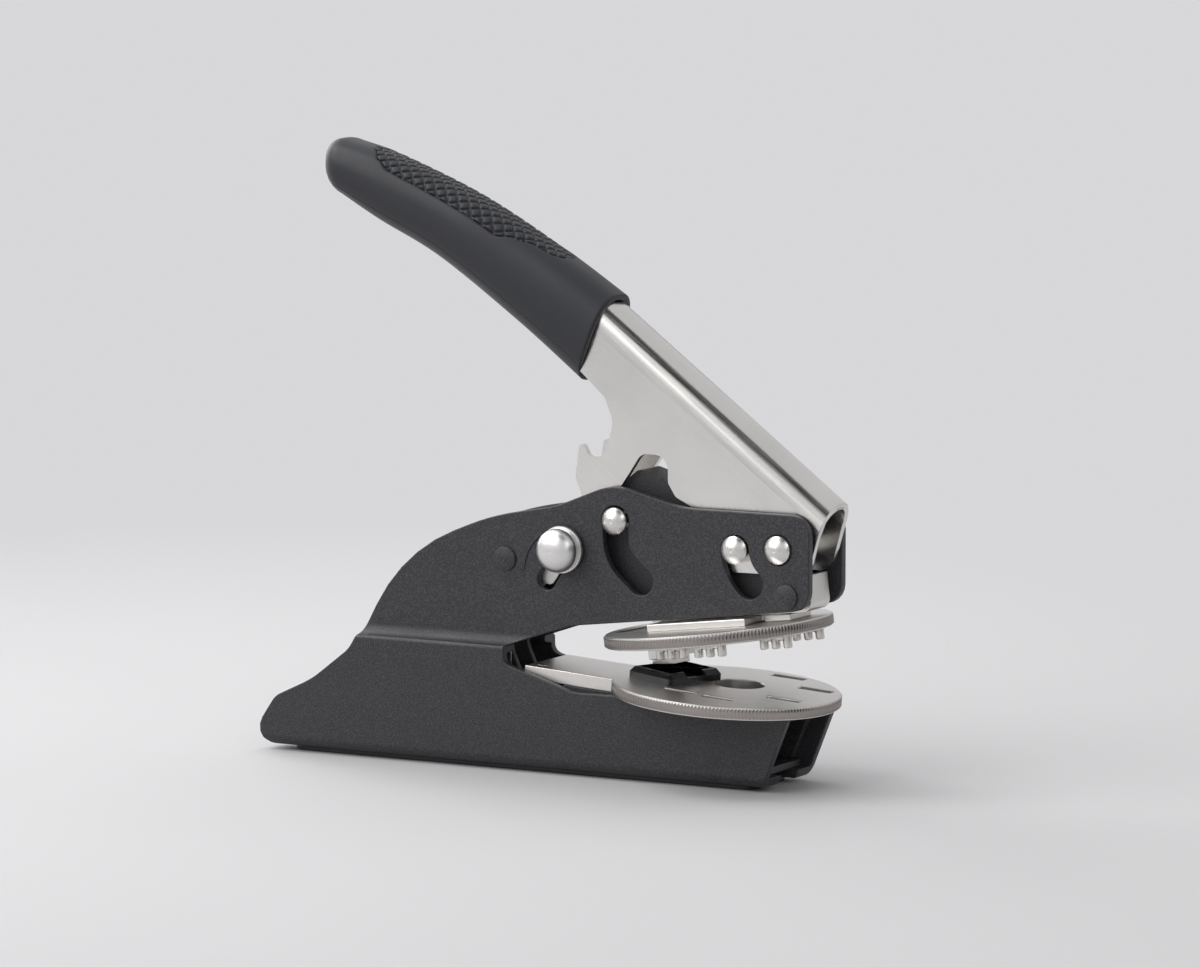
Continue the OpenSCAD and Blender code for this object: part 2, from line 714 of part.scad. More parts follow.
module lever_outline() {
    // Foot of the hook, which stays behind the guide pin
    foot = guide + [-3.472, -0.5285];
    polygon(rounded([
        [-40, lever_top.y + (lever_top.x + 40) * tan(lever_slope), 0], [lever_top.x, lever_top.y, 0.8],
        [23.6, 50, 3], [21.4, 47.8, 3], [0.9, 47.6, 4.6], [0.9, 58.3, 4], [-9.6, 63.4, 2],
        [-11.5, 66.4, 1.2], [-11.5, 72.5, 3.4], [-18.2, 72.5, 2.6], [-21.2, 68, 2], [-23.6, 64.6, 2],
        [foot.x, foot.y, 1.5], [foot.x - 4.2, foot.y, 2], [-34.8, 66.5, 4], [-33.6, 75.4, 0.7],
        [-31.4, 71.2, 1.5], [-27.6, 71, 3], [-25.2, 79, 5], [-27.4, 84.6, 4], [-36, 92.2, 0],
        [-40, 95.5, 0]]));
}

// Folded sheet seen along the lever: back with round shoulders and two side walls
module lever_section(depth) {
    inner_round = lever_round - lever_sheet;
    difference() {
        polygon(rounded([[-lever_out, 0, lever_round], [lever_out, 0, lever_round],
            [lever_out, -depth, 0], [-lever_out, -depth, 0]]));
        polygon(rounded([[-lever_in, -lever_sheet, inner_round], [lever_in, -lever_sheet, inner_round],
            [lever_in, -depth - 1, 0], [-lever_in, -depth - 1, 0]]));
    }
}

// Prism of a section whose top runs through p, down a slope
module along(p, slope, back, ahead) {
    translate([p.x, 0, p.y]) rotate([0, slope, 0]) translate([-back, 0, 0])
        rotate([90, 0, 90]) linear_extrude(height = back + ahead) children();
}

module tang_outline() {
    polygon([[-33, 108], [-33, 90.5], [-56, 106.6], [-72, 117.8], [-88, 125], [-88, 140]]);
}

module lever_channel() {
    color("silver") difference() {
        union() {
            intersection() {
                along(lever_top, lever_slope, 90, 20) lever_section(80);
                across(-lever_out - 2, lever_out + 2) lever_outline();
            }
            intersection() {
                along(tang_top, tang_slope, 70, 12) lever_section(40);
                across(-lever_out - 2, lever_out + 2) tang_outline();
            }
        }
        rod(fulcrum, pin_r + pin_play, -lever_out - 1, lever_out + 1);
        rod(crank, pin_r, -lever_out - 1, lever_out + 1);
    }
}

// Side view of the grip: points on its back and on its belly, front to rear
grip_back = [[-26.2, 106.2], [-42.2, 116.4], [-62.8, 127.6], [-83.6, 136], [-95.5, 139.4]];
grip_belly = [[-33.2, 89], [-50.2, 99.6], [-70.9, 113.6], [-86.5, 121.2], [-96, 126.6]];
grip_rings = 22;
grip_sides = 24;
grip_end = 6;

// Smooth curve through a row of points, t from 0 to 1
function through(pts, t) =
    let (n = len(pts) - 1, s = min(t * n, n - tiny), i = floor(s), f = s - i,
         p0 = pts[max(i - 1, 0)], p1 = pts[i], p2 = pts[i + 1], p3 = pts[min(i + 2, n)])
    0.5 * (2 * p1 + (p2 - p0) * f + (2 * p0 - 5 * p1 + 4 * p2 - p3) * f * f
        + (3 * p1 - p0 - 3 * p2 + p3) * f * f * f);

// Ring of the grip between a back point and a belly point, shrunk by k and pushed by v
function grip_ring(t, k, v) =
    let (a = through(grip_back, t), b = through(grip_belly, t), mid = (a + b) / 2 + v, up = (a - b) / 2)
    [for (i = [0:grip_sides - 1]) let (w = 360 * i / grip_sides, c = cos(w), s = sin(w),
        q = 1 / pow(pow(abs(c), 2.6) + pow(abs(s), 2.6), 1 / 2.6))
        [mid.x + up.x * k * q * s, grip_half * k * q * c, mid.y + up.y * k * q * s]];

module grip_sleeve() {
    tail = unit(through(grip_back, 1) + through(grip_belly, 1)
        - through(grip_back, 0.9) - through(grip_belly, 0.9));
    rings = concat(
        [grip_ring(0, 0.9, [0, 0])],
        [for (i = [0:grip_rings]) grip_ring(max(i / grip_rings, 0.012), 1, [0, 0])],
        [for (a = [18:18:80]) grip_ring(1, cos(a), grip_end * sin(a) * tail)]);
    n = len(rings);
    s = grip_sides;
    color("#1f1f22") difference() {
        polyhedron(points = [for (r = rings) each r], faces = concat(
            [[for (k = [0:s - 1]) k]], [[for (k = [s - 1:-1:0]) (n - 1) * s + k]],
            [for (i = [0:n - 2], k = [0:s - 1]) let (a = i * s + k, b = i * s + (k + 1) % s)
                each [[a, a + s, b + s], [a, b + s, b]]]));
        intersection() {
            along(lever_top, lever_slope, 90, 20) grip_hollow(80);
            across(-lever_out - 2, lever_out + 2) lever_outline();
        }
        intersection() {
            along(tang_top, tang_slope, 70, 12) grip_hollow(40);
            across(-lever_out - 2, lever_out + 2) tang_outline();
        }
    }
}

module grip_hollow(depth) {
    polygon(rounded([[-lever_out, 0, lever_round], [lever_out, 0, lever_round],
        [lever_out, -depth, 0], [-lever_out, -depth, 0]]));
}

// ---------------------------------------------------------------- die lock

stem_r = 1.9;
flange_t = 1;
washer_t = 0.5;

// Turned knob: thin flange on the washer, then a drum with a domed end
module lock_knob() {
    outer = frame_out + washer_t + 0.1;
    cap_r = knob_r - 0.45;
    top = knob_h - washer_t - 0.1;
    color("silver") translate([knob_at.x, -outer, knob_at.y]) rotate([90, 0, 0])
        rotate_extrude($fn = 64) polygon(rounded([
            [0, 0, 0], [knob_r, 0, 0.3], [knob_r, flange_t, 0.4], [cap_r, flange_t, 0],
            [cap_r, top - 0.9, 2.2], [0, top, 0]]));
}

module lock_stem() {
    color("gainsboro") rod(knob_at, stem_r, -frame_out - washer_t - 0.1, -slide_in);
}

module lock_washer() {
    color("gray") difference() {
        rod(knob_at, knob_r - 0.9, -frame_out - washer_t, -frame_out - 0.05);
        rod(knob_at, stem_r + 0.1, -frame_out - 2, -frame_out + 2);
    }
}

// Side view of the lock slide: head round the stem with a short tail in the knob's slot, leg down
// behind the plate, and a tooth under the slide rail
module slide_outline() {
    half = slide_w / 2;
    head_r = stem_r + 1.6;
    knee = [-52.6, 33, 4];
    foot = [-52.6, 18.7, 2.5];
    tooth_x = -43.8;
    tooth_top = lower_face(tooth_x, rail_bottom) + 2;
    tail_end = [-41.2, 43.6];
    leg = xy(knee) - knob_at;
    tail = tail_end - knob_at;
    leg_a = atan2(leg.y, leg.x);
    tail_a = atan2(tail.y, tail.x);
    edge = asin(half / head_r);
    meet = asin(1 - norm(tail) * sin(tail_a - leg_a) / half);
    path = bent([[knob_at.x, knob_at.y, 0], knee, foot, [tooth_x - 1, foot.y, 0]]);
    inside = beside(path, half);
    outside = beside(path, -half);
    last = len(path) - 1;
    polygon(concat(
        arc(knob_at, head_r, leg_a - edge, tail_a + edge - 360),
        arc(tail_end, half, tail_a + 90, leg_a + meet),
        [for (i = [1:last]) inside[i]],
        [[tooth_x - 1, tooth_top - 0.5], [tooth_x - 0.5, tooth_top], [tooth_x + 0.5, tooth_top],
         [tooth_x + 1.1, tooth_top - 0.8], [tooth_x + 1.1, foot.y - half]],
        [for (i = [last:-1:1]) outside[i]]));
}

module lock_slide() {
    color("silver") difference() {
        across(-slide_out, -slide_in) slide_outline();
        rod(knob_at, stem_r, -slide_out - 1, -slide_in + 1);
    }
}

// ---------------------------------------------------------------- assembly

right_side_plate();
left_side_plate();
base_floor();
base_pad();
floor_rivets();
hinge_bracket();
bracket_rivets();
arm_hinge_pin();
rear_spacer_rivet();
front_spacer_rivet();
fulcrum_pin();
die_bed();
lower_seal_plate();
register_frame();
return_spring();
lever_channel();
grip_sleeve();
crank_pin();
pressure_link();
guide_pin();
press_arm();
press_pin();
press_foot();
upper_holder();
upper_seal_plate();
register_block();
key_teeth();
upper_screws();
lock_knob();
lock_stem();
lock_slide();
lock_washer();
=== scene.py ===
import json
import math

import bmesh
import bpy
from mathutils import Matrix, Vector
from mathutils.bvhtree import BVHTree


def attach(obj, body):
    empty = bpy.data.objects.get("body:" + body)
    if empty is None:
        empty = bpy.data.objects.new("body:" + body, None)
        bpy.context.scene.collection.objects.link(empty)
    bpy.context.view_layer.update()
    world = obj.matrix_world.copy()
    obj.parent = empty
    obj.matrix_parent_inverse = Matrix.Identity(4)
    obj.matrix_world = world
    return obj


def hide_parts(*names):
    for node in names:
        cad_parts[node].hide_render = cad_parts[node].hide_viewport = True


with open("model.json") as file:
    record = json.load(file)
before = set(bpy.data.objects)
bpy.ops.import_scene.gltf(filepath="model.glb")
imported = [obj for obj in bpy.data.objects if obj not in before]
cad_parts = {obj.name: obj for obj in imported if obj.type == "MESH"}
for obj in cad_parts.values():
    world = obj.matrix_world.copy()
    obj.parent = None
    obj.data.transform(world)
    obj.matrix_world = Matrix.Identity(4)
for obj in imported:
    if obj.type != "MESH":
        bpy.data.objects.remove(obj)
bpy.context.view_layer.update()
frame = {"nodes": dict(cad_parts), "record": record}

# Desk embosser: finishes, broken edges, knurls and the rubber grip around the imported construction.
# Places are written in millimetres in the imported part's own frame and turned into metres by MM.
MM = 0.001
NODES = frame["nodes"]
BODY_OF = {node: body for body, members in frame["record"]["behaviour"]["bodies"].items()
           for node in members}

# Places and sizes that repeat the construction's. A place is [x, z] in the side view
FULCRUM = (17.1, 53.5)
CRANK = (6.517, 52.908)
GUIDE = (-23.328, 57.529)
REAR_SPACER = (-51.3, 47.5)
FRONT_SPACER = (19.2, 43.35)
KNOB = (-36.3, 50.5)
SEAL_Z = 21.2
SEAL_R = 25.5
PLATE_T = 2.8
LOWER_TILT = math.radians(4)
UPPER_TILT = math.radians(7)
ARM_HINGE = (-52, 17)
PAPER_GAP = 1.3
FRAME_HALF = 9
LEVER_SLOPE = math.radians(36.6)
LEVER_TOP = (28.4, 63.6)
LEVER_OUT = 6.3
LEVER_SHEET = 1.5
LEVER_ROUND = 4.3
CLIP_AT = (-12.8, -0.5)
CLIP_TURN = -15
CLIP_H = 2.6

# Pins and rivets across the frame: head radius, height of the dome and how far the seat stands out
PIN_R = 3.1
PIN_DOME = 1.7
PIN_SEAT = FRAME_HALF + 0.1
GUIDE_DOME = 1.9
# Thinner than the solid's 1.25, which has no clearance in the lever's notch at full press
GUIDE_SHANK = 1.1
RIVET_SHANK = 1.9
RIVET_R = 2.75
RIVET_DOME = 0.9
RIVET_EDGE = 0.45

# Fine teeth round the seal plates: count, depth and the plain band above and below them
TEETH = 200
TOOTH_DEPTH = 0.26
PLAIN_BAND = 0.3

# Lock knob: flange, drum with its grooves, and domed end, measured from the washer
KNOB_BASE = 0.6
FLANGE_R = 5.35
DRUM_R = 4.9
DRUM_END = 2.6
GROOVES = 3
GROOVE_PITCH = 0.42
KNOB_END = 5.6

# Full round of the lever's back, from its front edge to inside the grip
CROWN_R = 6.2
CROWN_END = 74
# Curved arrow pressed into the near plate: centre, radius, width and depth
ARROW_AT = (-36.2, 44.9)
ARROW_R = 10
ARROW_W = 0.42
ARROW_DEPTH = 0.16

# Return spring on the rear spacer: wire, coil radius, turns and the feet of its two legs
WIRE = 1
COIL_R = 2.7
COIL_TURNS = 3
COIL_START, COIL_END = 169, 111
COIL_PITCH = 1.42
REAR_LEG = (-58.8, 20.5)
FRONT_LEG = (-35, 57.7)

PAPER = (0.54, 0.535, 0.54)
BACKGROUND = (0.68, 0.68, 0.695)


# ---------------------------------------------------------------- camera, light, stage

def add_camera():
    """Camera of the photograph: its angle, its distance and the pixel of the seal's centre."""
    azimuth, elevation = math.radians(29), math.radians(6.63)
    width, height, sensor, lens, distance = 1200, 967, 36, 180, 1.325
    seal_pixel = (727, 686.3)
    back = Vector((math.sin(azimuth) * math.cos(elevation),
                   -math.cos(azimuth) * math.cos(elevation), math.sin(elevation)))
    right = Vector((math.cos(azimuth), math.sin(azimuth), 0))
    up = back.cross(right)
    focal = lens / sensor * width
    ray = (-back + right * (seal_pixel[0] - width / 2) / focal
           - up * (seal_pixel[1] - height / 2) / focal)
    data = bpy.data.cameras.new("camera")
    data.lens, data.sensor_width = lens, sensor
    data.clip_start, data.clip_end = 0.1, 20
    camera = bpy.data.objects.new("camera", data)
    bpy.context.scene.collection.objects.link(camera)
    turn = Matrix((right, up, back)).transposed().to_4x4()
    camera.matrix_world = Matrix.Translation(Vector((0, 0, SEAL_Z * MM)) - ray * distance) @ turn
    bpy.context.scene.camera = camera


def add_area_light(name, place, target, size, power, colour=(1, 1, 1)):
    data = bpy.data.lights.new(name, "AREA")
    data.shape, data.size, data.size_y = "RECTANGLE", size[0], size[1]
    data.energy, data.color = power, colour
    light = bpy.data.objects.new(name, data)
    light.location = place
    light.rotation_euler = (Vector(target) - Vector(place)).to_track_quat("-Z", "Y").to_euler()
    bpy.context.scene.collection.objects.link(light)
    return light


def add_world():
    """Pale background to the camera and to polished metal, soft grey fill to everything else."""
    world = bpy.data.worlds.new("studio")
    bpy.context.scene.world = world
    world.use_nodes = True
    nodes, links = world.node_tree.nodes, world.node_tree.links
    nodes.clear()
    seen, fill = nodes.new("ShaderNodeBackground"), nodes.new("ShaderNodeBackground")
    seen.inputs["Color"].default_value = (*BACKGROUND, 1)
    fill.inputs["Color"].default_value = (0.80, 0.81, 0.83, 1)
    fill.inputs["Strength"].default_value = 0.5
    path, mix = nodes.new("ShaderNodeLightPath"), nodes.new("ShaderNodeMixShader")
    either, any_of = nodes.new("ShaderNodeMath"), nodes.new("ShaderNodeMath")
    either.operation = any_of.operation = "MAXIMUM"
    out = nodes.new("ShaderNodeOutputWorld")
    links.new(path.outputs["Is Camera Ray"], either.inputs[0])
    links.new(path.outputs["Is Glossy Ray"], either.inputs[1])
    links.new(either.outputs[0], any_of.inputs[0])
    links.new(path.outputs["Is Transmission Ray"], any_of.inputs[1])
    links.new(any_of.outputs[0], mix.inputs[0])
    links.new(fill.outputs[0], mix.inputs[1])
    links.new(seen.outputs[0], mix.inputs[2])
    links.new(mix.outputs[0], out.inputs[0])


def floor_paper():
    """Pale paper that keeps the shadow near the object and fades into the background beyond."""
    material, nodes, links, shader = new_material("floor_paper", PAPER, roughness=0.65)
    shader.inputs["Specular IOR Level"].default_value = 0.2
    place, distance = nodes.new("ShaderNodeTexCoord"), nodes.new("ShaderNodeVectorMath")
    distance.operation = "LENGTH"
    links.new(place.outputs["Object"], distance.inputs[0])
    fade = nodes.new("ShaderNodeMapRange")
    fade.interpolation_type = "SMOOTHSTEP"
    fade.inputs["From Min"].default_value = 0.14
    fade.inputs["From Max"].default_value = 0.55
    links.new(distance.outputs["Value"], fade.inputs["Value"])
    path, both = nodes.new("ShaderNodeLightPath"), nodes.new("ShaderNodeMath")
    both.operation = "MULTIPLY"
    links.new(path.outputs["Is Camera Ray"], both.inputs[0])
    links.new(fade.outputs["Result"], both.inputs[1])
    glow, mix = nodes.new("ShaderNodeEmission"), nodes.new("ShaderNodeMixShader")
    glow.inputs["Color"].default_value = (*BACKGROUND, 1)
    links.new(both.outputs[0], mix.inputs[0])
    links.new(shader.outputs[0], mix.inputs[1])
    links.new(glow.outputs[0], mix.inputs[2])
    links.new(mix.outputs[0], nodes["Material Output"].inputs["Surface"])
    return material


def add_stage():
    floor_mesh = bmesh.new()
    bmesh.ops.create_grid(floor_mesh, x_segments=1, y_segments=1, size=12)
    floor = mesh_object("floor", floor_mesh)
    floor.data.materials.append(floor_paper())
    # studio flags: dark cards that only polished metal mirrors
    flag, _, _, _ = new_material("flag_cloth", (0.01, 0.01, 0.01), roughness=0.9)
    for name, place, size in [("flag_right", (0.95, -0.25, 0.12), 0.36),
                              ("flag_high", (0.14, -0.34, 0.72), 0.2)]:
        card_mesh = bmesh.new()
        bmesh.ops.create_grid(card_mesh, x_segments=1, y_segments=1, size=size)
        card = mesh_object(name, card_mesh)
        card.data.materials.append(flag)
        card.location = place
        towards = Vector((0, 0, 0.06)) - Vector(place)
        card.rotation_euler = towards.to_track_quat("-Z", "Y").to_euler()
        for seen_by in ("visible_camera", "visible_shadow", "visible_diffuse"):
            setattr(card, seen_by, False)
    add_area_light("key", (-0.80, -0.95, 0.98), (0, 0, 0.06), (1.6, 1.2), 14.5)
    top = add_area_light("top", (-0.1, 0.55, 1.2), (0, 0, 0.05), (1.2, 0.8), 5)
    top.visible_glossy = False
    add_area_light("edges", (-0.5, -0.12, 1.0), (-0.02, 0, 0.06), (0.45, 0.45), 3.5)
    add_area_light("front", (1.1, -0.7, 0.7), (0, 0, 0.05), (0.5, 0.6), 1.8)
    add_area_light("rear", (-1.05, 0.45, 0.5), (-0.04, 0, 0.08), (0.8, 0.7), 6)


# ---------------------------------------------------------------- materials

def new_material(name, colour, metallic=0.0, roughness=0.5):
    material = bpy.data.materials.new(name)
    material.use_nodes = True
    nodes, links = material.node_tree.nodes, material.node_tree.links
    shader = nodes["Principled BSDF"]
    shader.inputs["Base Color"].default_value = (*colour, 1)
    shader.inputs["Metallic"].default_value = metallic
    shader.inputs["Roughness"].default_value = roughness
    return material, nodes, links, shader


def noise(nodes, links, scale, detail=2.0, turn=None, stretch=None):
    """Noise on the object's own coordinates; turn and stretch lay its grain along a direction."""
    texture = nodes.new("ShaderNodeTexNoise")
    texture.inputs["Scale"].default_value = scale
    texture.inputs["Detail"].default_value = detail
    place = nodes.new("ShaderNodeTexCoord")
    if turn is None:
        links.new(place.outputs["Object"], texture.inputs["Vector"])
        return texture
    first, second = nodes.new("ShaderNodeMapping"), nodes.new("ShaderNodeMapping")
    first.inputs["Rotation"].default_value = turn
    second.inputs["Scale"].default_value = stretch
    links.new(place.outputs["Object"], first.inputs["Vector"])
    links.new(first.outputs["Vector"], second.inputs["Vector"])
    links.new(second.outputs["Vector"], texture.inputs["Vector"])
    return texture


def ramp_between(nodes, links, source, low, high, socket, start=0.35, end=0.65):
    """Drives a socket between two values or colours by a noise."""
    stretch = nodes.new("ShaderNodeMapRange")
    stretch.inputs["From Min"].default_value = start
    stretch.inputs["From Max"].default_value = end
    links.new(source.outputs[0], stretch.inputs["Value"])
    if isinstance(low, tuple):
        mix = nodes.new("ShaderNodeMix")
        mix.data_type = "RGBA"
        mix.inputs["A"].default_value = (*low, 1)
        mix.inputs["B"].default_value = (*high, 1)
        links.new(stretch.outputs["Result"], mix.inputs["Factor"])
        links.new(mix.outputs["Result"], socket)
    else:
        stretch.inputs["To Min"].default_value = low
        stretch.inputs["To Max"].default_value = high
        links.new(stretch.outputs["Result"], socket)


def add_bump(nodes, links, shader, source, depth, strength=1.0, before=None):
    bump = nodes.new("ShaderNodeBump")
    bump.inputs["Strength"].default_value = strength
    bump.inputs["Distance"].default_value = depth
    links.new(source.outputs[0], bump.inputs["Height"])
    if before is not None:
        links.new(before.outputs["Normal"], bump.inputs["Normal"])
    links.new(bump.outputs["Normal"], shader.inputs["Normal"])
    return bump


def powder_coat(name, colour, speckle, roughness=0.46):
    """Matt powder coat: fine orange peel, tiny pale specks, slow patches of sheen."""
    material, nodes, links, shader = new_material(name, colour, roughness=roughness)
    grain = noise(nodes, links, 3400, 1.5)
    peel = noise(nodes, links, 900, 2.0)
    patches = noise(nodes, links, 60, 3.0)
    ramp_between(nodes, links, grain, colour, speckle, shader.inputs["Base Color"], 0.45, 0.72)
    ramp_between(nodes, links, patches, roughness - 0.05, roughness + 0.06,
                 shader.inputs["Roughness"])
    first = add_bump(nodes, links, shader, peel, 0.00003, 0.5)
    add_bump(nodes, links, shader, grain, 0.00005, 0.55, first)
    shader.inputs["Specular IOR Level"].default_value = 0.42
    return material


def grained_metal(name, colour, roughness, grain_scale, grain_depth, tone=0.06):
    """Satin metal: blasted grain, slight tone changes and a few soft smudges."""
    material, nodes, links, shader = new_material(name, colour, 1.0, roughness)
    grain = noise(nodes, links, grain_scale, 2.0)
    smudges = noise(nodes, links, 45, 3.0)
    darker = tuple(c * (1 - tone) for c in colour)
    ramp_between(nodes, links, smudges, darker, colour, shader.inputs["Base Color"])
    ramp_between(nodes, links, grain, roughness - 0.03, roughness + 0.05,
                 shader.inputs["Roughness"])
    add_bump(nodes, links, shader, grain, grain_depth, 0.6)
    return material


def brushed_nickel(name, colour, roughness):
    """Bright nickel on rolled sheet: fine lines along the lever, faint cloudy patches."""
    material, nodes, links, shader = new_material(name, colour, 1.0, roughness)
    lines = noise(nodes, links, 1, 3.0, (0, -LEVER_SLOPE, 0), (60, 2600, 2600))
    cloud = noise(nodes, links, 55, 3.0)
    ramp_between(nodes, links, cloud, tuple(c * 0.93 for c in colour), colour,
                 shader.inputs["Base Color"])
    ramp_between(nodes, links, lines, roughness - 0.03, roughness + 0.06,
                 shader.inputs["Roughness"])
    add_bump(nodes, links, shader, lines, 0.000006, 0.35)
    return material


def soft_rubber(name, colour):
    material, nodes, links, shader = new_material(name, colour, roughness=0.5)
    grain = noise(nodes, links, 3200, 2.0)
    patches = noise(nodes, links, 40, 3.0)
    lighter = tuple(c * 1.25 for c in colour)
    ramp_between(nodes, links, grain, colour, lighter, shader.inputs["Base Color"], 0.4, 0.7)
    ramp_between(nodes, links, patches, 0.44, 0.56, shader.inputs["Roughness"])
    add_bump(nodes, links, shader, grain, 0.00003, 0.5)
    shader.inputs["Specular IOR Level"].default_value = 0.45
    shader.inputs["Sheen Weight"].default_value = 0.05
    shader.inputs["Sheen Roughness"].default_value = 0.5
    return material


def moulded_gloss(name, colour):
    material, nodes, links, shader = new_material(name, colour, roughness=0.22)
    waves = noise(nodes, links, 350, 2.0)
    scuffs = noise(nodes, links, 120, 4.0)
    ramp_between(nodes, links, scuffs, 0.17, 0.34, shader.inputs["Roughness"])
    add_bump(nodes, links, shader, waves, 0.00002, 0.3)
    return material


def make_materials():
    return {
        "black_paint": powder_coat("black_powder_coat", (0.021, 0.021, 0.0235),
                                   (0.062, 0.062, 0.067)),
        "pad_rubber": soft_rubber("pad_rubber", (0.02, 0.02, 0.021)),
        "plain_steel": grained_metal("zinc_plated_steel", (0.55, 0.54, 0.52), 0.36, 1400, 0.00001),
        "pin_nickel": grained_metal("satin_nickel_pin", (0.70, 0.685, 0.665), 0.30, 3600, 0.000002),
        "plate_nickel": grained_metal("blasted_nickel_plate", (0.70, 0.68, 0.655), 0.34, 2800,
                                      0.000022),
        # Rim nickel much darker than the plate's: painted shade in the teeth and painted dark
        # reflection, not a different metal
        "painted_shade_rim": grained_metal("knurled_nickel_rim_painted_shade", (0.37, 0.34, 0.32), 0.2, 1800, 0.00001,
                                     0.25),
        "lever_nickel": brushed_nickel("brushed_nickel_sheet", (0.73, 0.715, 0.69), 0.2),
        "black_plastic": moulded_gloss("gloss_black_moulding", (0.014, 0.014, 0.016)),
        "grip_rubber": soft_rubber("soft_grip_rubber", (0.0135, 0.0142, 0.0185)),
        "knob_satin": grained_metal("turned_satin_knob", (0.72, 0.71, 0.70), 0.33, 3600, 0.000002),
    }


# ---------------------------------------------------------------- mesh helpers

def mesh_object(name, work):
    mesh = bpy.data.meshes.new(name)
    work.to_mesh(mesh)
    work.free()
    obj = bpy.data.objects.new(name, mesh)
    bpy.context.scene.collection.objects.link(obj)
    return obj


def smooth(obj, angle=32):
    for face in obj.data.polygons:
        face.use_smooth = True
    obj.data.set_sharp_from_angle(angle=math.radians(angle))
    weighted = obj.modifiers.new("weighted_normals", "WEIGHTED_NORMAL")
    weighted.keep_sharp = True
    weighted.weight = 100


def hand_in(obj, node, slot, angle=32):
    """Finishes a piece that stands for a node: smooth shading, material, body and slot."""
    smooth(obj, angle)
    obj.data.materials.clear()
    obj.data.materials.append(MATERIALS[slot])
    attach(obj, BODY_OF[node])
    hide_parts(node)
    return obj


def merged_copy(node):
    """The node's mesh as a bmesh, with its loose triangles merged into flat faces."""
    work = bmesh.new()
    work.from_mesh(NODES[node].data)
    bmesh.ops.remove_doubles(work, verts=work.verts, dist=0.003 * MM)
    bmesh.ops.dissolve_limit(work, angle_limit=math.radians(0.6), verts=work.verts,
                             edges=work.edges)
    return work


def sharp_edge(edge):
    return edge.calc_face_angle(0) > math.radians(34)


def outer_edge(edge):
    """A sharp edge that stands out. An inner corner stays as cut, clear of the pin beside it."""
    return sharp_edge(edge) and edge.is_convex


def break_edges(work, width, steps=2, pick=sharp_edge):
    """Copy with its sharp edges rounded, narrower where a wide round would leave the surface."""
    surface = BVHTree.FromBMesh(work)
    for share in (1.0, 0.75, 0.5, 0.3, 0.15):
        rounded = work.copy()
        chosen = [e for e in rounded.edges if len(e.link_faces) == 2 and pick(e)]
        bmesh.ops.bevel(rounded, geom=chosen, offset=width * share * MM, offset_type="OFFSET",
                        segments=steps, profile=0.5, affect="EDGES", material=-1,
                        clamp_overlap=False)
        if all(surface.find_nearest(v.co)[3] < 0.5 * width * share * MM for v in rounded.verts):
            work.free()
            return rounded
        rounded.free()
    return work


def dressed(node, slot, width=0.25, steps=2):
    work = break_edges(merged_copy(node), width, steps)
    return hand_in(mesh_object("dressed_" + node, work), node, slot)


def joined(work, part):
    """Adds another bmesh's shell to the first and frees it."""
    mesh = bpy.data.meshes.new("shell")
    part.to_mesh(mesh)
    part.free()
    work.from_mesh(mesh)
    bpy.data.meshes.remove(mesh)


def spun(profile, axis, steps):
    """Closed turned shape. The profile's points are positions in millimetres off the axis."""
    part = bmesh.new()
    made = [part.verts.new(Vector(point) * MM) for point in profile]
    edges = [part.edges.new((made[i], made[i + 1])) for i in range(len(made) - 1)]
    bmesh.ops.spin(part, geom=made + edges, cent=(0, 0, 0), axis=axis, angle=math.tau,
                   steps=steps, use_merge=True)
    bmesh.ops.remove_doubles(part, verts=part.verts, dist=0.001 * MM)
    bmesh.ops.recalc_face_normals(part, faces=part.faces)
    return part


def turned(work, centre, base_y, side, profile, steps=64):
    """Adds a shape turned about an axis along Y. The profile's points are [radius, height]."""
    part = spun([(r, 0, -h * side) for r, h in profile], (0, 0, 1), steps)
    bmesh.ops.rotate(part, verts=part.verts, cent=(0, 0, 0),
                     matrix=Matrix.Rotation(math.radians(-90), 3, "X"))
    bmesh.ops.translate(part, verts=part.verts,
                        vec=Vector((centre[0], base_y, centre[1])) * MM)
    joined(work, part)


def arc_profile(radius, height, count=10):
    """Low dome from its foot to its middle, [radius, height]."""
    ball = (radius ** 2 + height ** 2) / (2 * height)
    half = math.asin(min(1, radius / ball))
    return [(ball * math.sin(half * (1 - i / count)),
             ball * math.cos(half * (1 - i / count)) - ball + height) for i in range(count + 1)]


def headed_pin(node, slot, centre, shank_r, head_r, height, seat, edge=0.35):
    """Pin across the frame with a domed head on both sides and a small dimple in each dome."""
    work = bmesh.new()
    for side in (-1, 1):
        dome = [(r, h + edge) for r, h in arc_profile(head_r, height - edge)]
        dimple = [(0.42, dome[-1][1] - 0.01), (0.28, dome[-1][1] - 0.07), (0, dome[-1][1] - 0.09)]
        dome = [p for p in dome if p[0] > 0.5] + dimple
        profile = ([(0, -seat), (shank_r, -seat), (shank_r, 0), (head_r - 0.08, 0), (head_r, 0.08)]
                   + dome)
        turned(work, centre, side * seat, -side, profile)
    return hand_in(mesh_object("turned_" + node, work), node, slot, 40)


MATERIALS = make_materials()


# ---------------------------------------------------------------- rubber grip

GRIP_BACK = [(-26.8, 106.8), (-42.2, 116.4), (-62.8, 127.6), (-83.6, 136), (-95.5, 139.35)]
GRIP_BELLY = [(-34.6, 87.4), (-50.2, 99.3), (-70.9, 113.4), (-86.5, 121.2), (-96, 126.6)]
CAVITY_BACK = [(-24.5, 103.2), (-31.2, 108.3), (-52, 118.5), (-71, 127.6), (-87, 135.4)]
CAVITY_BELLY = [(-29, 85.5), (-38, 93.2), (-56, 106.2), (-71.5, 117), (-88.5, 124.6)]
GRIP_HALF = 8.3
CAVITY_HALF = 6.5
GRIP_END = 6
# Squareness of the sections: 2 is an ellipse, more is nearer to a rectangle
GRIP_SQUARE = 2.6
CAVITY_SQUARE = 4.5
MOUTH_SQUARE = 2.4
